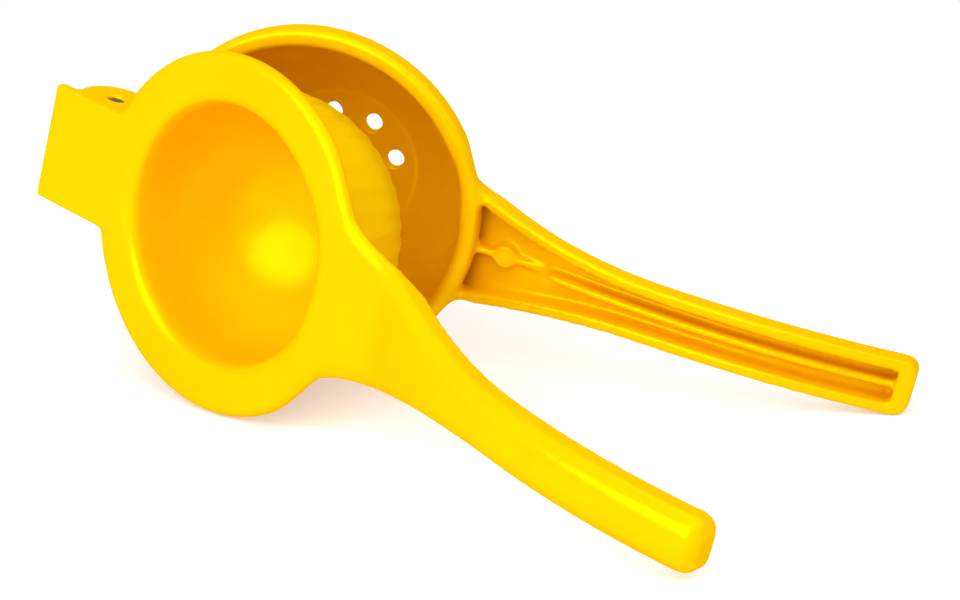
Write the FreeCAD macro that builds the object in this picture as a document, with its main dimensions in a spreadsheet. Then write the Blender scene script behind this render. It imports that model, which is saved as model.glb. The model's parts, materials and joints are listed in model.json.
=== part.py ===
import FreeCAD, Part
import os
import math
import Sketcher

# Hinged lemon squeezer: two cast aluminium arms on one steel pin.
# Each arm is drawn in its own frame: the hinge axis is Y, X runs along the arm towards
# the grip, and Z points from the press arm towards the bowl arm.

os.makedirs("parts", exist_ok=True)
doc = FreeCAD.newDocument("LemonSqueezer")
sheet = doc.addObject("Spreadsheet::Sheet", "Sizes")


class Length:
    # A length with both its value in millimetres and its formula on the sheet.
    def __init__(self, value, text):
        self.value = value
        self.text = text

    def join(self, other, sign, value, swapped=False):
        text = other.text if isinstance(other, Length) else repr(other)
        left, right = (text, self.text) if swapped else (self.text, text)
        return Length(value, "(" + left + " " + sign + " " + right + ")")

    def __add__(self, other):
        return self.join(other, "+", self.value + number(other))

    def __radd__(self, other):
        return self.join(other, "+", number(other) + self.value, True)

    def __sub__(self, other):
        return self.join(other, "-", self.value - number(other))

    def __rsub__(self, other):
        return self.join(other, "-", number(other) - self.value, True)

    def __mul__(self, other):
        return self.join(other, "*", self.value * number(other))

    def __rmul__(self, other):
        return self.join(other, "*", number(other) * self.value, True)

    def __truediv__(self, other):
        return self.join(other, "/", self.value / number(other))

    def __neg__(self):
        return Length(-self.value, "(0 - " + self.text + ")")


def number(length):
    return length.value if isinstance(length, Length) else length


def root(length):
    return Length(math.sqrt(length.value), "sqrt(" + length.text + ")")


def square(length):
    return length * length


def cosine(angle):
    text = angle.text if isinstance(angle, Length) else repr(angle)
    return Length(math.cos(math.radians(number(angle))), "cos(" + text + " * 1 deg)")


def sine(angle):
    text = angle.text if isinstance(angle, Length) else repr(angle)
    return Length(math.sin(math.radians(number(angle))), "sin(" + text + " * 1 deg)")


zero = Length(0.0, "0")

sizes = {
    # Both arms
    "ringRadius": 40.0,           # outside of both rings
    "hingeReach": 45.5,           # pin to ring centre
    "gripReach": 143.0,           # ring centre to end of grip
    "tipCorner": 3.4,
    "gripEdge": 2.0,              # broken edges of the grip's back
    "tipWall": 4.0,               # closed end of the grip
    "gripWall": 2.6,
    "ribThickness": 1.8,
    "ribDrop": 1.6,               # rib top below the channel rim
    "openAngle": 23.3,            # between the arms as they stand
    "cutPast": 1.0,               # how far a cut runs past the metal
    # Press arm
    "pressFace": 7.6,             # outer face of the tab, outside of the pin
    "ringRise": 3.6,              # middle of the ring's face, outside of the tab's
    "ringTilt": 7.0,              # degrees that the ring leans out towards the grip
    "flangeThickness": 4.2,
    "flangeEase": 1.6,
    "faceWidth": 11.6,            # ring's flat face, out to its edge from the hollow
    "lipEase": 3.0,               # soft edge round the hollow
    "domeWall": 3.6,
    "domeBlend": 1.5,
    "pressBowRadius": 152.0,      # long curve of the grip's back
    "blendReach": 45.0,           # ring centre to the foot of the grip's blend
    "pressBowDepth": 40.8,
    "pressBlend": 20.0,           # grip's back into the flange
    "pressGripDepth": 8.0,
    "pressHalfWidth": 6.0,
    "pressFlareRadius": 140.0,    # grip widening into the ring
    "pressFlareReach": 92.0,      # ring centre to start of the flare
    # Bowl arm
    "bowlFace": 8.4,              # rim face, inside of the pin
    "rimWidth": 4.2,              # rim face between the bowl and the ring's edge
    "bowlDepth": 32.0,            # rim face to the flat floor
    "bowlSkirt": 1.0,             # rim face to the bowl's widest circle
    "bowlWall": 2.8,
    "bandHeight": 7.0,
    "rimEase": 1.2,
    "rimLip": 1.0,                # broken inner edge of the rim
    "drainRadius": 2.1,
    "drainCircle": 13.0,
    "bowlBowRadius": 196.0,       # channel rim of the grip
    "bowlBowReach": 100.0,
    "bowlBowLevel": 1.0,
    "bowlGripDepth": 8.5,
    "bowlHalfWidth": 6.6,
    "bowlFlareRadius": 152.0,
    "bowlFlareReach": 84.0,
    "bossRadius": 2.8,            # ejector boss on the rib
    "bossReach": 47.0,
    "bossLevel": 11.5,            # top of the boss and of the low rib
    "lowRibReach": 58.0,          # ring centre to the end of the low rib
    # Hinge
    "tabWidth": 27.2,
    "tabReach": 11.7,             # plate beyond the pin
    "plateThickness": 3.0,
    "earRadius": 8.5,
    "knuckleWidth": 16.0,
    "knuckleRadius": 4.2,
    "sideGap": 0.3,
    "pinRadius": 2.0,
    "pinRunning": 0.05,           # pin in the knuckle, on the radius
    "pinRecess": 0.6,
    "pinChamfer": 0.4,
}
drainCount = 8


class Named:
    # The sizes under their own names, each tied to its cell on the sheet.
    def __init__(self, values):
        for row, (name, value) in enumerate(values.items(), 1):
            sheet.set("A" + str(row), name)
            sheet.set("B" + str(row), str(value))
            sheet.setAlias("B" + str(row), name)
            setattr(self, name, Length(value, "Sizes." + name))


size = Named(sizes)
ringX = size.hingeReach
tipX = ringX + size.gripReach
hollowRadius = size.ringRadius - size.faceWidth
bowlRadius = size.ringRadius - size.rimWidth
bowlBowX = ringX + size.bowlBowReach


def vector(x, y):
    return FreeCAD.Vector(number(x), number(y), 0)


def eased(x, y, ease, come, go):
    # A corner at (x, y) softened by two flats; come and go are the ways in and out of it.
    near = ease * (1 - math.sqrt(0.5))
    return [
        (x - ease * come[0], y - ease * come[1]),
        (x + near * (go[0] - come[0]), y + near * (go[1] - come[1])),
        (x + ease * go[0], y + ease * go[1]),
    ]


def sketchOn(body, label, role, shift=None):
    # A sketch on one of the body's own planes, moved along its x by shift.
    sketch = body.newObject("Sketcher::SketchObject", label)
    plane = [item for item in body.Origin.OriginFeatures if item.Role == role][0]
    sketch.AttachmentSupport = [(plane, "")]
    sketch.MapMode = "FlatFace"
    if shift is not None:
        sketch.setExpression("AttachmentOffset.Base.x", shift.text)
    return sketch


def bind(sketch, kind, *places, to):
    # One dimension of the sketch, tied to its formula.
    index = sketch.addConstraint(Sketcher.Constraint(kind, *places, to.value))
    sketch.setExpression("Constraints[" + str(index) + "]", to.text)


def curvedRun(start, end, radius, turn):
    # The short arc from start to end; turn is 1 to the left and -1 to the right.
    chord = end - start
    across = FreeCAD.Vector(-chord.y, chord.x, 0).normalize()
    rise = math.sqrt(max(radius ** 2 - chord.Length ** 2 / 4, 0))
    centre = (start + end) / 2 + across * rise * turn
    first, last = (start, end) if turn > 0 else (end, start)
    angles = [math.atan2(point.y - centre.y, point.x - centre.x) for point in (first, last)]
    circle = Part.Circle(centre, FreeCAD.Vector(0, 0, 1), radius)
    return Part.ArcOfCircle(circle, angles[0], angles[1])


def outline(sketch, corners):
    # A closed outline. A corner is (x, y), or (x, y, radius, turn) where an arc follows it.
    ends = []
    for here, there in zip(corners, corners[1:] + corners[:1]):
        start = vector(here[0], here[1])
        end = vector(there[0], there[1])
        if len(here) == 4:
            run = sketch.addGeometry(curvedRun(start, end, here[2].value, here[3]))
            ends.append((run, 1, 2) if here[3] > 0 else (run, 2, 1))
        else:
            run = sketch.addGeometry(Part.LineSegment(start, end))
            ends.append((run, 1, 2))
    for here, there in zip(ends, ends[1:] + ends[:1]):
        sketch.addConstraint(Sketcher.Constraint("Coincident", here[0], here[2], there[0], there[1]))
    for corner, (run, first, last) in zip(corners, ends):
        bind(sketch, "DistanceX", -1, 1, run, first, to=corner[0])
        bind(sketch, "DistanceY", -1, 1, run, first, to=corner[1])
        if len(corner) == 4:
            bind(sketch, "Radius", run, to=corner[2])
    return sketch


def ring(sketch, x, y, radius):
    circle = Part.Circle(vector(x, y), FreeCAD.Vector(0, 0, 1), radius.value)
    run = sketch.addGeometry(circle)
    bind(sketch, "DistanceX", -1, 1, run, 3, to=x)
    bind(sketch, "DistanceY", -1, 1, run, 3, to=y)
    bind(sketch, "Radius", run, to=radius)
    return sketch


def block(sketch, left, right, low, high):
    return outline(sketch, [(left, low), (right, low), (right, high), (left, high)])


def extrude(body, kind, label, sketch, length, symmetric=True):
    # A pad or a pocket, equally to both sides of the sketch unless told otherwise.
    feature = body.newObject("PartDesign::" + kind, label)
    feature.Profile = sketch
    feature.SideType = "Symmetric" if symmetric else "One side"
    feature.setExpression("Length", length.text)
    sketch.Visibility = False
    doc.recompute()
    return feature


def turnedForm(body, kind, label, corners, tilt=None):
    # A form turned round the ring's own axis, added or cut away.
    sketch = sketchOn(body, label + "Sketch", "XZ_Plane", ringX)
    if tilt is not None:
        sketch.setExpression("AttachmentOffset.Rotation.Angle", "-" + tilt.text)
    outline(sketch, corners)
    feature = body.newObject("PartDesign::" + kind, label)
    feature.Profile = sketch
    feature.ReferenceAxis = (sketch, ["V_Axis"])
    feature.Angle = 360.0
    doc.recompute()
    return feature


def repeat(body, label, original, axis, count):
    pattern = body.newObject("PartDesign::PolarPattern", label)
    pattern.Originals = [original]
    pattern.Axis = axis
    pattern.Angle = 360.0
    pattern.Occurrences = count
    body.Tip = pattern
    doc.recompute()
    return pattern


def breakEdges(body, label, amount, wanted):
    # A chamfer on the edges that wanted accepts.
    base = body.Tip
    names = ["Edge" + str(i + 1) for i, edge in enumerate(base.Shape.Edges) if wanted(edge)]
    chamfer = body.newObject("PartDesign::Chamfer", label)
    chamfer.Base = (base, names)
    chamfer.setExpression("Size", amount.text)
    doc.recompute()
    return chamfer


def sweepOf(bowRadius, bowX, level, x):
    # Height at x of a long arc whose lowest point is at level, above bowX.
    return level + bowRadius - root(square(bowRadius) - square(bowX - x))


class Grip:
    # The grip seen square on to its back: flared root, parallel shank, rounded end.
    def __init__(self, half, flare, reach):
        self.half = half
        self.flare = flare
        self.flareX = ringX + reach

    def widthAt(self, inset, x):
        # Half the width at x, in the flare.
        return self.half + self.flare - root(square(self.flare + inset) - square(self.flareX - x))

    def plan(self, inset, endInset, start):
        side = self.half - inset
        wide = self.widthAt(inset, start)
        flare = self.flare + inset
        end = tipX - endInset
        corner = size.tipCorner - inset
        return [
            (start, -wide, flare, -1),
            (self.flareX, -side),
            (end - corner, -side, corner, 1),
            (end, corner - side),
            (end, side - corner, corner, 1),
            (end - corner, side),
            (self.flareX, side, flare, -1),
            (start, wide),
        ]


pressGrip = Grip(size.pressHalfWidth, size.pressFlareRadius, size.pressFlareReach)
bowlGrip = Grip(size.bowlHalfWidth, size.bowlFlareRadius, size.bowlFlareReach)


def gripForm(body, label, side, plan):
    # The solid that has both outlines: side view padded across, then trimmed to the plan.
    profile = outline(sketchOn(body, label + "SideSketch", "XZ_Plane"), side)
    extrude(body, "Pad", label + "Side", profile, size.ringRadius * 2)
    trim = sketchOn(body, label + "PlanSketch", "XY_Plane")
    block(trim, zero, tipX + size.ringRadius, -size.ringRadius * 2, size.ringRadius * 2)
    outline(trim, plan)
    extrude(body, "Pocket", label + "Plan", trim, tipX * 2)


def newBody(label):
    body = doc.addObject("PartDesign::Body", label)
    body.Label = label
    return body


def cutWith(body, label, core):
    boolean = body.newObject("PartDesign::Boolean", label)
    boolean.setObjects([core])
    boolean.Type = "Cut"
    doc.recompute()
    return boolean


def onCurve(height, start):
    # Accepts the edges that follow the curve height(x), past start.
    def test(edge):
        points = edge.discretize(5)
        seam = edge.Length > size.tipCorner.value * 2 and abs(points[0].x - points[4].x) < 0.01
        if seam and points[2].x < tipX.value - 0.01:
            return False
        return all(abs(p.z - height(p.x)) < 0.01 and p.x > start - 0.01 for p in points)
    return test


def onRing(reach, level):
    # A place on the leaning press ring: reach from its axis, and level along that axis.
    lean = sine(size.ringTilt)
    flat = cosine(size.ringTilt)
    return ringX + reach * flat + level * lean, level * flat - reach * lean


def makePressArm():
    under = size.flangeThickness - size.pressFace
    face = -size.pressFace - size.ringRise
    inner = face + size.flangeThickness
    backLevel = -size.pressBowDepth
    rimLevel = backLevel + size.pressGripDepth

    # the blend from the ring's face into the long curve of the back, and where the two meet
    bow = size.pressBowRadius
    blend = size.pressBlend
    footX, footZ = onRing(size.blendReach, face)
    blendX, blendZ = onRing(size.blendReach, face - blend)
    high = bow - size.pressBowDepth - blendZ
    bowX = blendX + root(square(bow + blend) - square(high))
    share = blend / (bow + blend)
    meetX = blendX + share * (bowX - blendX)
    meetZ = blendZ + share * high

    # where the rim of the grip's channel runs out into the back of the ring
    startX, startZ = onRing(zero, inner)
    along = (bowX - startX) * cosine(size.ringTilt) - (bow + rimLevel - startZ) * sine(size.ringTilt)
    apart = square(bowX - startX) + square(bow + rimLevel - startZ) - square(bow)
    rimX, rimZ = onRing(along - root(square(along) - apart), inner)

    def back(x):
        return sweepOf(bow, bowX, backLevel, x)

    def rim(x):
        return sweepOf(bow, bowX, rimLevel, x)

    def floor(x):
        return sweepOf(bow, bowX, backLevel + size.gripWall, x)

    body = newBody("press_arm")
    band = hollowRadius + size.faceWidth / 2
    side = [
        onRing(band, face),
        (footX, footZ, blend, -1),
        (meetX, meetZ, bow, 1),
        (tipX, back(tipX)),
        (tipX, rim(tipX), bow, -1),
        (rimX, rimZ),
        onRing(band, inner),
    ]
    gripForm(body, "grip", side, pressGrip.plan(zero, zero, ringX + hollowRadius))

    def backHeight(x):
        if x < meetX.value:
            return blendZ.value + (blend.value ** 2 - (x - blendX.value) ** 2) ** 0.5
        return back(Length(x, "")).value

    breakEdges(body, "gripEdges", size.gripEdge, onCurve(backHeight, footX.value))

    # the open channel in the grip, as the core that a caster would set
    core = newBody("gripCore")
    start = ringX + size.ringRadius + size.cutPast
    end = tipX - size.tipWall
    channel = [
        (start, floor(start), bow, 1),
        (end, floor(end)),
        (end, zero),
        (start, zero),
    ]
    gripForm(core, "core", channel, pressGrip.plan(size.gripWall, size.tipWall, start))
    cutWith(body, "channel", core)
    ribEnd = end + size.tipWall / 2
    rib = [
        (rimX, floor(rimX) - size.gripWall / 2, bow, 1),
        (ribEnd, floor(ribEnd) - size.gripWall / 2),
        (ribEnd, rim(ribEnd) - size.ribDrop, bow, -1),
        (rimX, rim(rimX) - size.ribDrop),
    ]
    ribSide = outline(sketchOn(body, "ribSketch", "XZ_Plane"), rib)
    extrude(body, "Pad", "gripRib", ribSide, size.ribThickness)
    addEars(body, under)
    addDome(body, face, inner)
    return body


def addEars(body, under):
    # The hinge tab: a plain plate in line with the flange, with an ear down each side.
    inner = size.plateThickness - size.pressFace
    shoulder = root(square(size.earRadius) - square(inner))
    corner = size.earRadius / root(Length(2.0, "2"))
    run = 2 * corner - under
    ears = [
        (-size.tabReach, -size.pressFace),
        (run, -size.pressFace),
        (run, under),
        (corner, corner, size.earRadius, 1),
        (zero, size.earRadius, size.earRadius, 1),
        (-shoulder, inner),
        (-size.tabReach, inner),
    ]
    extrude(body, "Pad", "ears", outline(sketchOn(body, "earSketch", "XZ_Plane"), ears), size.tabWidth)
    slot = sketchOn(body, "slotSketch", "XZ_Plane")
    block(slot, -size.tabReach - size.cutPast, run + size.cutPast, inner, size.earRadius + size.cutPast)
    extrude(body, "Pocket", "knuckleSlot", slot, size.knuckleWidth + 2 * size.sideGap)


def addDome(body, face, inner):
    # Flange and dome in one turned form, then the smooth hollow with its rounded lip.
    domeRadius = hollowRadius + size.domeWall
    turned = [
        (zero, face),
        *eased(size.ringRadius, face, size.flangeEase, (1, 0), (0, 1)),
        *eased(size.ringRadius, inner, size.flangeEase, (0, 1), (-1, 0)),
        *eased(domeRadius, inner, size.domeBlend, (-1, 0), (0, 1)),
        (domeRadius, zero, domeRadius, 1),
        (zero, domeRadius),
    ]
    turnedForm(body, "Revolution", "flangeAndDome", turned, size.ringTilt)
    hollow = [
        (zero, face - size.cutPast),
        (hollowRadius + size.lipEase, face - size.cutPast),
        *eased(hollowRadius, face, size.lipEase, (-1, 0), (0, 1)),
        (hollowRadius, zero, hollowRadius, 1),
        (zero, hollowRadius),
    ]
    turnedForm(body, "Groove", "hollow", hollow, size.ringTilt)
    bore = ring(sketchOn(body, "pinBoreSketch", "XZ_Plane"), zero, zero, size.pinRadius)
    extrude(body, "Pocket", "pinBore", bore, size.tabWidth * 2)


def makeBowlArm():
    backRadius = size.bowlBowRadius - size.bowlGripDepth
    backLevel = size.bowlBowLevel + size.bowlGripDepth
    floorRadius = backRadius + size.gripWall

    def rim(x):
        return sweepOf(size.bowlBowRadius, bowlBowX, size.bowlBowLevel, x)

    def back(x):
        return sweepOf(backRadius, bowlBowX, backLevel, x)

    def floor(x):
        return sweepOf(floorRadius, bowlBowX, backLevel - size.gripWall, x)

    body = newBody("bowl_arm")
    start = ringX + bowlRadius
    side = [
        (start, rim(start), size.bowlBowRadius, 1),
        (tipX, rim(tipX)),
        (tipX, back(tipX), backRadius, -1),
        (start, back(start)),
    ]
    gripForm(body, "grip", side, bowlGrip.plan(zero, zero, start))
    breakEdges(body, "gripEdges", size.gripEdge, onCurve(lambda x: back(Length(x, "")).value, start.value))

    core = newBody("bowlCore")
    end = tipX - size.tipWall
    channel = [
        (start, size.bowlBowLevel - size.cutPast),
        (end, size.bowlBowLevel - size.cutPast),
        (end, floor(end), floorRadius, -1),
        (start, floor(start)),
    ]
    gripForm(core, "core", channel, bowlGrip.plan(size.gripWall, size.tipWall, start))
    cutWith(body, "channel", core)

    # the stiffening rib, low beside the bowl and full height along the grip
    ribStart = ringX + size.lowRibReach
    ribEnd = end + size.tipWall / 2
    rib = [
        (ribStart, rim(ribStart) + size.ribDrop, size.bowlBowRadius, 1),
        (ribEnd, rim(ribEnd) + size.ribDrop),
        (ribEnd, floor(ribEnd) + size.gripWall / 2, floorRadius - size.gripWall / 2, -1),
        (ribStart, floor(ribStart) + size.gripWall / 2),
    ]
    ribSide = outline(sketchOn(body, "ribSketch", "XZ_Plane"), rib)
    extrude(body, "Pad", "gripRib", ribSide, size.ribThickness)
    low = [
        (start, size.bossLevel),
        (ribStart + size.ribThickness, size.bossLevel),
        (ribStart + size.ribThickness, floor(ribStart) + size.gripWall / 2),
        (start, floor(start)),
    ]
    lowSide = outline(sketchOn(body, "lowRibSketch", "XZ_Plane"), low)
    extrude(body, "Pad", "lowRib", lowSide, size.ribThickness)
    boss = ring(sketchOn(body, "bossSketch", "XY_Plane"), ringX + size.bossReach, zero, size.bossRadius)
    boss.setExpression("AttachmentOffset.Base.z", size.bossLevel.text)
    bossTall = floor(ringX + size.bossReach) + size.gripWall / 2 - size.bossLevel
    extrude(body, "Pad", "boss", boss, bossTall, False)
    addKnuckle(body)
    addBowl(body)
    return body


def addKnuckle(body):
    # The knuckle round the pin, and the web that carries it down to the bowl's rim.
    foot = size.hingeReach - bowlRadius - size.rimEase
    knuckle = [
        (-size.knuckleRadius, zero, size.knuckleRadius, 1),
        (zero, -size.knuckleRadius, size.knuckleRadius, 1),
        (size.knuckleRadius, zero),
        (foot, size.bowlFace + size.rimEase),
        (foot, size.bowlFace + size.bandHeight + size.rimEase),
    ]
    side = outline(sketchOn(body, "knuckleSketch", "XZ_Plane"), knuckle)
    extrude(body, "Pad", "knuckle", side, size.knuckleWidth)


def addBowl(body):
    # Bowl shell, rim band, smooth inside and the drain holes.
    centre = size.bowlFace + size.bowlSkirt
    floorZ = size.bowlFace + size.bowlDepth
    outer = bowlRadius + size.bowlWall
    shell = [
        (zero, centre),
        (outer, centre, outer, 1),
        (root(square(outer) - square(floorZ + size.bowlWall - centre)), floorZ + size.bowlWall),
        (zero, floorZ + size.bowlWall),
    ]
    turnedForm(body, "Revolution", "shell", shell)
    bandEnd = size.bowlFace + size.bandHeight
    band = [
        (bowlRadius, size.bowlFace),
        *eased(size.ringRadius, size.bowlFace, size.rimEase, (1, 0), (0, 1)),
        *eased(size.ringRadius, bandEnd, size.rimEase, (0, 1), (-1, 0)),
        (bowlRadius, bandEnd),
    ]
    turnedForm(body, "Revolution", "band", band)
    inside = [
        (zero, size.bowlFace - size.cutPast),
        (bowlRadius + size.rimLip, size.bowlFace - size.cutPast),
        (bowlRadius + size.rimLip, size.bowlFace),
        (bowlRadius, centre, bowlRadius, 1),
        (root(square(bowlRadius) - square(floorZ - centre)), floorZ),
        (zero, floorZ),
    ]
    turnedForm(body, "Groove", "inside", inside)
    middle = ring(sketchOn(body, "middleDrainSketch", "XY_Plane", ringX), zero, zero, size.drainRadius)
    extrude(body, "Pocket", "middleDrain", middle, floorZ * 4)
    outerDrain = sketchOn(body, "drainSketch", "XY_Plane", ringX)
    half = 180.0 / drainCount
    ring(outerDrain, size.drainCircle * cosine(half), size.drainCircle * sine(half), size.drainRadius)
    drain = extrude(body, "Pocket", "drain", outerDrain, floorZ * 4)
    repeat(body, "drains", drain, (outerDrain, ["N_Axis"]), drainCount)
    bore = ring(sketchOn(body, "pinBoreSketch", "XZ_Plane"), zero, zero, size.pinRadius + size.pinRunning)
    extrude(body, "Pocket", "pinBore", bore, size.tabWidth)


def makePin():
    body = newBody("hinge_pin")
    shank = ring(sketchOn(body, "pinSketch", "XZ_Plane"), zero, zero, size.pinRadius)
    extrude(body, "Pad", "shank", shank, size.tabWidth - 2 * size.pinRecess)
    breakEdges(body, "pinEnds", size.pinChamfer, lambda edge: hasattr(edge.Curve, "Radius"))
    return body


def checkAll():
    for item in doc.Objects:
        if "Invalid" in item.State or "Error" in item.State:
            raise RuntimeError(item.Name + " failed: " + str(item.State))


def lowest(centre, normal, radius, down):
    # The lowest point of a circle round centre.
    radial = down - normal * down.dot(normal)
    return centre + radial.normalize() * radius


def standing():
    # How the open squeezer stands on its side: on both rings and the end of a grip.
    frames = []
    for turn in (-size.openAngle.value / 2, size.openAngle.value / 2):
        along = FreeCAD.Vector(math.cos(math.radians(turn)), math.sin(math.radians(turn)), 0)
        frames.append((along, FreeCAD.Vector(-along.y, along.x, 0)))
    pressMiddle = onRing(zero, size.flangeThickness / 2 - size.pressFace - size.ringRise)
    lean = math.radians(size.ringTilt.value)
    normals = [frames[0][0] * math.sin(lean) + frames[0][1] * math.cos(lean), frames[1][1]]
    middles = [pressMiddle, (ringX, size.bowlFace + size.bandHeight / 2)]
    backs = [size.gripEdge - size.pressBowDepth, size.bowlBowLevel + size.bowlGripDepth]
    halves = [size.pressHalfWidth.value, size.bowlHalfWidth.value]
    rings = [a * x.value + n * z.value for (a, n), (x, z) in zip(frames, middles)]
    ends = [a * (tipX.value - size.tipCorner.value) + n * z.value for (a, n), z in zip(frames, backs)]
    axis = FreeCAD.Vector(0, 0, 1)
    down = -axis
    for attempt in range(4):
        low = [lowest(c, n, size.ringRadius.value, down) for c, n in zip(rings, normals)]
        feet = [e - axis * half for e, half in zip(ends, halves)]
        foot = max(feet, key=lambda point: point.dot(down))
        down = (low[1] - low[0]).cross(foot - low[0]).normalize()
        if down.z > 0:
            down = -down
    up = -down
    ahead = (frames[0][0] + frames[1][0]).normalize()
    ahead = (ahead - up * ahead.dot(up)).normalize()
    across = up.cross(ahead)
    rotations = []
    for along, inward in frames:
        columns = [along, -axis, inward]
        values = []
        for row in (ahead, across, up):
            values += [row.dot(column) for column in columns] + [0.0]
        rotations.append(FreeCAD.Placement(FreeCAD.Matrix(*values, 0.0, 0.0, 0.0, 1.0)))
    return rotations


pressArm = makePressArm()
bowlArm = makeBowlArm()
hingePin = makePin()
doc.recompute()
checkAll()

pressPlace, bowlPlace = standing()
pieces = {
    "press_arm": (pressArm, pressPlace),
    "bowl_arm": (bowlArm, bowlPlace),
    "hinge_pin": (hingePin, pressPlace),
}
box = FreeCAD.BoundBox()
for body, place in pieces.values():
    body.Placement = place
doc.recompute()
for body, place in pieces.values():
    box.add(body.Shape.optimalBoundingBox(False))
shift = FreeCAD.Vector(-box.Center.x, -box.Center.y, -box.ZMin)
for body, place in pieces.values():
    body.Placement = FreeCAD.Placement(shift, FreeCAD.Rotation()) * place
doc.recompute()
checkAll()
for name, (body, place) in pieces.items():
    if body.Shape.isNull() or not body.Shape.isValid() or len(body.Shape.Solids) != 1:
        raise RuntimeError(name + " is not one sound solid")
    body.Shape.exportStep("parts/" + name + ".step")
    print(name, round(body.Shape.Volume), "cubic mm")
print("overall", box.XLength, box.YLength, box.ZLength)
print("pin at", shift, "axis", pressPlace.Rotation.multVec(FreeCAD.Vector(0, 1, 0)))
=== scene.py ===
import bpy
import bmesh
import json
import math
import numpy as np
from mathutils import Matrix, Vector

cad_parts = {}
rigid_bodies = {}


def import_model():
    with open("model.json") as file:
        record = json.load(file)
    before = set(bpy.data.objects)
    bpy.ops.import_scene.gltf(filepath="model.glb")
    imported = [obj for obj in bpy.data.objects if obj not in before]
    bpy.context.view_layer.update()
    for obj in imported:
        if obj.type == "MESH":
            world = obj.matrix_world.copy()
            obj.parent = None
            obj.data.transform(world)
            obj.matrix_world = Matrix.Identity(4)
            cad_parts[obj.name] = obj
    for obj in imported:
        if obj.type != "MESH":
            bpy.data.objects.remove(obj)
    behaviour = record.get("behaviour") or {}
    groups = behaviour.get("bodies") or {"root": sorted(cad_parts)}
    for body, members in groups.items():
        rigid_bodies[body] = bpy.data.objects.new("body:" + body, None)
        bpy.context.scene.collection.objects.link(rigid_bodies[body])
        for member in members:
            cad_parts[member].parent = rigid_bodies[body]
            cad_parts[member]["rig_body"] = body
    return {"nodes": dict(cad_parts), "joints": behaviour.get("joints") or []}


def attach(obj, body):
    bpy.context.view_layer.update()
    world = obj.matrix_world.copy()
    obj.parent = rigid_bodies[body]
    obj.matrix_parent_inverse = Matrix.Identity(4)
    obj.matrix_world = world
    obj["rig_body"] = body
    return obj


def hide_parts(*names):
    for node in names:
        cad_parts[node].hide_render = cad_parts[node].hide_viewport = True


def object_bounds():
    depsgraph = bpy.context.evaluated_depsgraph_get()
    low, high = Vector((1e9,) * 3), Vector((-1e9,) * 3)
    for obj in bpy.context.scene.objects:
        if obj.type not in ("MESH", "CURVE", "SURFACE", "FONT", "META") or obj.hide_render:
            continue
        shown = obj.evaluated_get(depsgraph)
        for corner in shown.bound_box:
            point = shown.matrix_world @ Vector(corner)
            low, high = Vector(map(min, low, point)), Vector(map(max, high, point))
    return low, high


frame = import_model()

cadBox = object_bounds()
hinge = next(joint for joint in frame["joints"] if joint["name"] == "lever_hinge")
pinPoint = Vector(hinge["pos_m"])
pinAxis = Vector(hinge["axis"]).normalized()
print("frame loaded:", sorted(frame["nodes"]))


class Value:
    # A socket that can be used in sums: each operator adds its Math node.
    def __init__(self, graph, socket):
        self.graph = graph
        self.socket = socket

    def combine(self, operation, left, right):
        return self.graph.add("ShaderNodeMath", {"operation": operation}, {0: left, 1: right})

    def __add__(self, other):
        return self.combine("ADD", self, other)

    def __radd__(self, other):
        return self.combine("ADD", other, self)

    def __mul__(self, other):
        return self.combine("MULTIPLY", self, other)

    def __rmul__(self, other):
        return self.combine("MULTIPLY", other, self)


mixSockets = {"share": 0, "first": 6, "second": 7, "result": 2}     # the Mix node's, for colours


class Graph:
    # The node tree of one material or of the world.
    def __init__(self, owner):
        owner.use_nodes = True
        self.tree = owner.node_tree
        self.tree.nodes.clear()

    def make(self, kind, settings=None, sockets=None):
        node = self.tree.nodes.new(kind)
        for name, setting in (settings or {}).items():
            if name == "stops":
                for element, (place, colour) in zip(node.color_ramp.elements, setting):
                    element.position = place
                    element.color = colour
            else:
                setattr(node, name, setting)
        for name, value in (sockets or {}).items():
            if isinstance(value, Value):
                self.tree.links.new(value.socket, node.inputs[name])
            else:
                node.inputs[name].default_value = value
        return node

    def add(self, kind, settings=None, sockets=None, output=0):
        return Value(self, self.make(kind, settings, sockets).outputs[output])

    def mixColour(self, share, first, second):
        return self.add("ShaderNodeMix", {"data_type": "RGBA"}, {
            mixSockets["share"]: share, mixSockets["first"]: first, mixSockets["second"]: second,
        }, mixSockets["result"])

    def noise(self, place, scale, detail, roughness=0.5):
        return self.add("ShaderNodeTexNoise", {}, {
            "Vector": place, "Scale": scale, "Detail": detail, "Roughness": roughness,
        })

    def fade(self, share, low, high):
        # Black up to the low value, white from the high one.
        stops = [(low, (0, 0, 0, 1)), (high, (1, 1, 1, 1))]
        return self.add("ShaderNodeValToRGB", {"stops": stops}, {"Fac": share})

    def finish(self, shader, kind="ShaderNodeOutputMaterial"):
        self.make(kind, {}, {"Surface": shader})


def newMaterial(name):
    material = bpy.data.materials.new(name)
    return material, Graph(material)


enamel = {
    "colour": (0.97, 0.57, 0.001, 1),       # as the lit ring face shows it
    "deep": (0.95, 0.52, 0.001, 1),         # where the coat lies thicker
    "mottleScale": 45,                      # per metre
    "mottleSpan": (0.35, 0.7),
    "mottleShare": 0.5,
    "tint": (1.0, 0.90, 0.03, 1),           # the coat's own gloss is warm
    "gloss": 0.19,                          # share of the coat that mirrors in its own colour
    "whiteGloss": 0.0,
    "roughness": (0.19, 0.26),
    "roughScale": 135,
    "peelScale": 420,
    "peelDepth": 0.00004,
    "speckScale": 1500,
    "speckDepth": 0.000012,
    # painted shade colour for corners and hollows
    "paintedShadeColour": (0.72, 0.31, 0.001, 1),
    "paintedShadeReach": 0.008,                     # how far the painted shade reaches round a corner
    "paintedShadeSpan": (0.05, 0.36),               # openness at which the painted shade is full, and at which it is gone
    "paintedShadeSamples": 8,
}


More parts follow.
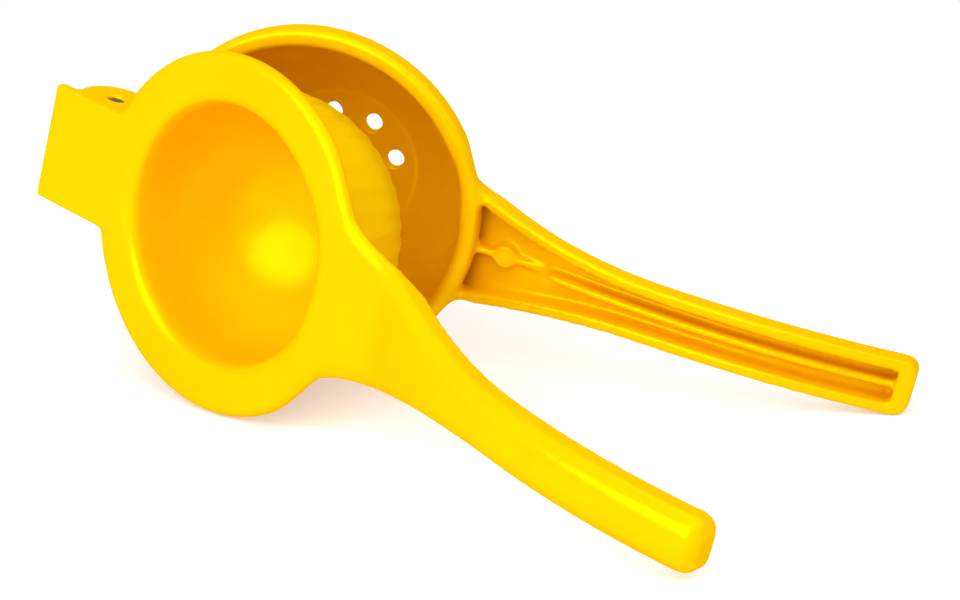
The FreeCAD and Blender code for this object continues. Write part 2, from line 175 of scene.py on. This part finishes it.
def enamelMaterial(name):
    # Painted shade: a deeper orange is mixed into corners and hollows, as far as the ambient occlusion
    # finds them closed in.
    material, graph = newMaterial(name)
    place = graph.add("ShaderNodeTexCoord", output="Object")
    mottle = graph.fade(graph.noise(place, enamel["mottleScale"], detail=3), *enamel["mottleSpan"])
    colour = graph.mixColour(mottle * enamel["mottleShare"], enamel["colour"], enamel["deep"])
    # painted shade: the ambient occlusion tells how closed in each point is, and closed-in points take
    # the deeper orange
    openness = graph.add("ShaderNodeAmbientOcclusion", {
        "samples": enamel["paintedShadeSamples"], "only_local": True,
    }, {"Distance": enamel["paintedShadeReach"]}, "AO")
    unshadedShare = graph.fade(openness, *enamel["paintedShadeSpan"])
    colour = graph.mixColour(unshadedShare, enamel["paintedShadeColour"], colour)

    low, high = enamel["roughness"]
    rough = graph.noise(place, enamel["roughScale"], detail=2) * (high - low) + low
    peel = graph.noise(place, enamel["peelScale"], detail=2)
    speck = graph.noise(place, enamel["speckScale"], detail=1)
    skin = graph.add("ShaderNodeBump", {}, {"Distance": enamel["peelDepth"], "Height": peel})
    skin = graph.add("ShaderNodeBump", {}, {
        "Distance": enamel["speckDepth"], "Height": speck, "Normal": skin,
    })
    graph.finish(graph.add("ShaderNodeBsdfPrincipled", {}, {
        "Base Color": colour, "Roughness": rough, "Normal": skin, "Metallic": enamel["gloss"],
        "Specular IOR Level": enamel["whiteGloss"], "Specular Tint": enamel["tint"],
    }))
    return material


steel = {
    "colour": (0.15, 0.12, 0.05, 1),
    "dark": (0.08, 0.06, 0.02, 1),
    "roughness": (0.38, 0.58),
    "grainScale": 2600,                     # per metre
    "grainRoughness": 0.6,
    "grainDepth": 0.00002,
    "grainStrength": 0.6,
}


def steelMaterial():
    material, graph = newMaterial("pinSteel")
    place = graph.add("ShaderNodeTexCoord", output="Object")
    grain = graph.noise(place, steel["grainScale"], detail=3, roughness=steel["grainRoughness"])
    low, high = steel["roughness"]
    skin = graph.add("ShaderNodeBump", {}, {
        "Strength": steel["grainStrength"], "Distance": steel["grainDepth"], "Height": grain,
    })
    graph.finish(graph.add("ShaderNodeBsdfPrincipled", {}, {
        "Base Color": graph.mixColour(grain, steel["dark"], steel["colour"]), "Metallic": 1.0,
        "Roughness": grain * (high - low) + low, "Normal": skin,
    }))
    return material


# Both arms are shaped in a frame of their own: x from the pin to the ring's middle, y along the pin.
casting = {
    "weld": 0.000001,
    "voxel": 0.0005,
    "softening": 16,                        # rounds that ease the edges, as in a cast and coated part
    "rootSoftening": 90,                    # further rounds where the ring runs into the grip
    "pull": 0.5,                            # how far a round takes a point to its neighbours' middle
    "widestTurn": 0.9,                      # share of the flare's radius that the widening may use
    "leastReach": 0.001,
}
pressShape = {
    "along": (0.949236, -0.201930, -0.241194),   # the arm frame's x axis as the squeezer stands
    "ringReach": 0.0455,
    "ringTilt": 7.0,                        # degrees
    "domeRadius": 0.0320,
    "skin": 0.0007,                         # how far round the dome's surface the flutes act
    "fluteCount": 36,
    "fluteDepth": 0.0003,
    "fluteFoot": (-0.0060, -0.0030),        # along the dome's axis, where the flutes fade in
    "fluteTop": (0.008, 0.017),             # out from the axis, where they fade away
    "bowMiddle": (0.17458, 0.1112),         # of the arcs of the grip's back and rim
    "bowBack": 0.152,
    "bowRim": 0.144,
    "half": 0.006,                          # half the grip's width before it widens
    "flare": 0.140,
    "flareEnd": 0.1375,
    "crown": 0.0016,                        # how far the back's edges sink
    "crownStart": (0.088, 0.112),
    "root": (0.079, 0.0188),                # where the ring's edge meets the grip's, to either side
    "rootReach": (0.005, 0.016),
    "rootLevel": (-0.008, -0.005),          # the dome above this stays as it is
}
bowlShape = {
    "along": (0.949702, 0.201930, -0.239354),
    "bowMiddle": (0.1455, 0.197),
    "bowBack": 0.1875,
    "bowRim": 0.196,
    "half": 0.0066,
    "flare": 0.152,
    "flareEnd": 0.1295,
    "crown": 0.0012,
    "crownStart": (0.088, 0.106),
    "root": (0.0815, 0.0166),
    "rootReach": (0.002, 0.009),
    "rootLevel": (0.020, 0.026),
}


def eased(value, low, high):
    # 0 below the low value, 1 above the high one, smooth between them.
    share = np.clip((value - low) / (high - low), 0, 1)
    return share * share * (3 - 2 * share)


def crowned(place, shape):
    # Rounds the back of a grip: its edges sink and its middle line stays.
    x, y, z = place.T
    middleX, middleZ = shape["bowMiddle"]
    outX, outZ = x - middleX, z - middleZ
    reach = np.hypot(outX, outZ)
    back = np.clip((reach - shape["bowRim"]) / (shape["bowBack"] - shape["bowRim"]), 0, 1)
    short = np.clip(shape["flareEnd"] - x, 0, shape["flare"] * casting["widestTurn"])
    half = shape["half"] + shape["flare"] - np.sqrt(shape["flare"] ** 2 - short ** 2)
    sink = shape["crown"] * np.clip(y / half, -1, 1) ** 2 * back * eased(x, *shape["crownStart"])
    toRim = math.copysign(1, shape["bowRim"] - shape["bowBack"])
    return np.stack([x + outX / reach * toRim * sink, y, z + outZ / reach * toRim * sink], 1)


def fluted(place, shape):
    # Cuts shallow flutes down the outside of the dome.
    tilt = math.radians(shape["ringTilt"])
    offX, y, offZ = place[:, 0] - shape["ringReach"], place[:, 1], place[:, 2]
    side = offX * math.cos(tilt) - offZ * math.sin(tilt)
    level = offX * math.sin(tilt) + offZ * math.cos(tilt)
    out = np.hypot(side, y)
    height = np.maximum(level, 0)
    reach = np.hypot(out, height)
    near = 1 - eased(np.abs(reach - shape["domeRadius"]), shape["skin"] / 2, shape["skin"])
    near *= eased(level, *shape["fluteFoot"]) * eased(out, *shape["fluteTop"])
    wave = 0.5 - 0.5 * np.cos(np.arctan2(y, side) * shape["fluteCount"])
    cut = shape["fluteDepth"] * wave * near / np.maximum(reach, casting["leastReach"])
    side, y, level = side * (1 - cut), y * (1 - cut), level - height * cut
    return np.stack([
        shape["ringReach"] + side * math.cos(tilt) + level * math.sin(tilt), y,
        level * math.cos(tilt) - side * math.sin(tilt),
    ], 1)


def relaxed(place, mesh, shape):
    # Averages each point near the root with its neighbours, many times.
    links = np.zeros(len(mesh.edges) * 2, int)
    mesh.edges.foreach_get("vertices", links)
    first, second = links.reshape(-1, 2).T
    ends = np.concatenate([first, second])
    others = np.concatenate([second, first])
    count = np.bincount(ends, minlength=len(place))[:, None]
    rootX, rootY = shape["root"]
    away = np.hypot(place[:, 0] - rootX, np.abs(place[:, 1]) - rootY)
    share = (1 - eased(away, *shape["rootReach"])) * (1 - eased(place[:, 2], *shape["rootLevel"]))
    share = share[:, None] * casting["pull"]
    for turn in range(casting["rootSoftening"]):
        sums = [np.bincount(ends, place[others, axis], len(place)) for axis in range(3)]
        place = place + share * (np.stack(sums, 1) / count - place)
    return place


def softCopy(source, armFrame, name):
    # A copy of the solid in the arm's frame, in fine even faces and with its edges eased.
    work = bmesh.new()
    work.from_mesh(source.data)
    bmesh.ops.remove_doubles(work, verts=work.verts, dist=casting["weld"])
    work.transform(armFrame.inverted())
    mesh = bpy.data.meshes.new(name + "Rough")
    work.to_mesh(mesh)
    work.free()
    rough = bpy.data.objects.new(name + "Rough", mesh)
    bpy.context.collection.objects.link(rough)
    remesh = rough.modifiers.new("voxels", "REMESH")
    remesh.mode = "VOXEL"
    remesh.voxel_size = casting["voxel"]
    soften = rough.modifiers.new("soften", "SMOOTH")
    soften.factor = casting["pull"]
    soften.iterations = casting["softening"]
    graph = bpy.context.evaluated_depsgraph_get()
    final = bpy.data.meshes.new_from_object(rough.evaluated_get(graph))
    bpy.data.objects.remove(rough)
    return final


def castPiece(node, name, material, shape, changes):
    # The arm as it leaves the mould and the coating: no hard edges.
    source = frame["nodes"][node]
    along = Vector(shape["along"])
    axes = Matrix([along, -pinAxis, along.cross(-pinAxis)]).transposed().to_4x4()
    armFrame = Matrix.Translation(pinPoint) @ axes
    mesh = softCopy(source, armFrame, name)
    flat = np.zeros(len(mesh.vertices) * 3)
    mesh.vertices.foreach_get("co", flat)
    place = relaxed(flat.reshape(-1, 3), mesh, shape)
    for change in changes:
        place = change(place, shape)
    mesh.vertices.foreach_set("co", place.ravel())
    mesh.transform(armFrame)
    mesh.polygons.foreach_set("use_smooth", [True] * len(mesh.polygons))
    mesh.materials.clear()
    mesh.materials.append(material)
    mesh.update()
    piece = bpy.data.objects.new(name, mesh)
    bpy.context.collection.objects.link(piece)
    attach(piece, source["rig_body"])
    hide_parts(node)
    print(name, len(mesh.vertices), "points")


def dressPin():
    mesh = frame["nodes"]["hinge_pin"].data
    mesh.materials.clear()
    mesh.materials.append(steelMaterial())


castPiece(
    "press_arm", "pressCasting", enamelMaterial("pressEnamel"), pressShape, [crowned, fluted]
)
castPiece("bowl_arm", "bowlCasting", enamelMaterial("bowlEnamel"), bowlShape, [crowned])
dressPin()
print("castings and pin ready")


studio = {
    "floorSize": 6.0,
    "floorColour": (0.86, 0.86, 0.86, 1),
    "floorGlow": 0.38,                      # only for the rays that show the background
    "worldColour": (1, 1, 1, 1),
    "worldLight": 0.38,
    "keySize": 0.92,                        # a soft box in front, which shows in the hollow
    "keyPower": 5.6,
    "keyPlace": (-0.055, -0.61, 0.475),
    "fillSize": 1.3,
    "fillPower": 1.9,
    "fillPlace": (0.35, -1.1, 0.8),
    "topSize": 1.6,
    "topPower": 5.6,
    "topPlace": (0.50, 0.15, 1.05),
}


def seen(graph):
    # 1 for the rays that show the background: straight, in a gloss or through glass.
    path = graph.make("ShaderNodeLightPath")
    camera, glossy, through = [
        Value(graph, path.outputs[name])
        for name in ("Is Camera Ray", "Is Glossy Ray", "Is Transmission Ray")
    ]
    indirect = graph.add("ShaderNodeMath", {"operation": "MAXIMUM"}, {0: glossy, 1: through})
    return graph.add("ShaderNodeMath", {"operation": "MAXIMUM"}, {0: camera, 1: indirect})


def makeFloor():
    half = studio["floorSize"] / 2
    corners = [(-half, -half, 0), (half, -half, 0), (half, half, 0), (-half, half, 0)]
    mesh = bpy.data.meshes.new("floor")
    mesh.from_pydata(corners, [], [(0, 1, 2, 3)])
    floor = bpy.data.objects.new("floor", mesh)
    bpy.context.collection.objects.link(floor)
    material, graph = newMaterial("floorWhite")
    matte = graph.add("ShaderNodeBsdfDiffuse", {}, {"Color": studio["floorColour"]})
    glow = graph.add("ShaderNodeEmission", {}, {"Strength": seen(graph) * studio["floorGlow"]})
    graph.finish(graph.add("ShaderNodeAddShader", {}, {0: matte, 1: glow}))
    mesh.materials.append(material)


def makeWorld():
    world = bpy.data.worlds.new("studio")
    bpy.context.scene.world = world
    graph = Graph(world)
    strength = seen(graph) * (1 - studio["worldLight"]) + studio["worldLight"]
    light = graph.add("ShaderNodeBackground", {}, {"Color": studio["worldColour"], "Strength": strength})
    graph.finish(light, "ShaderNodeOutputWorld")


def makeLamp(name, target):
    lamp = bpy.data.lights.new(name, "AREA")
    lamp.shape = "DISK"
    lamp.size = studio[name + "Size"]
    lamp.energy = studio[name + "Power"]
    place = Vector(studio[name + "Place"])
    holder = bpy.data.objects.new(name, lamp)
    holder.location = place
    holder.rotation_euler = (target - place).to_track_quat("-Z", "Y").to_euler()
    bpy.context.collection.objects.link(holder)


view = {
    "fromPin": (0.35032, -0.57839, 0.15229),
    "turn": (74.520, -0.499, 24.120),       # degrees
    "lens": 113.85,                         # millimetres, as the sensor's width
    "sensor": 36,
    "nearest": 0.01,
}


def makeCamera():
    camera = bpy.data.cameras.new("camera")
    camera.lens = view["lens"]
    camera.sensor_width = view["sensor"]
    camera.clip_start = view["nearest"]
    holder = bpy.data.objects.new("camera", camera)
    holder.location = pinPoint + Vector(view["fromPin"])
    holder.rotation_euler = [math.radians(angle) for angle in view["turn"]]
    bpy.context.collection.objects.link(holder)
    bpy.context.scene.camera = holder


makeFloor()
makeWorld()
middle = (cadBox[0] + cadBox[1]) / 2
for name in ("key", "fill", "top"):
    makeLamp(name, middle)
makeCamera()
bpy.context.scene.view_settings.view_transform = "Standard"
print("studio and camera placed")
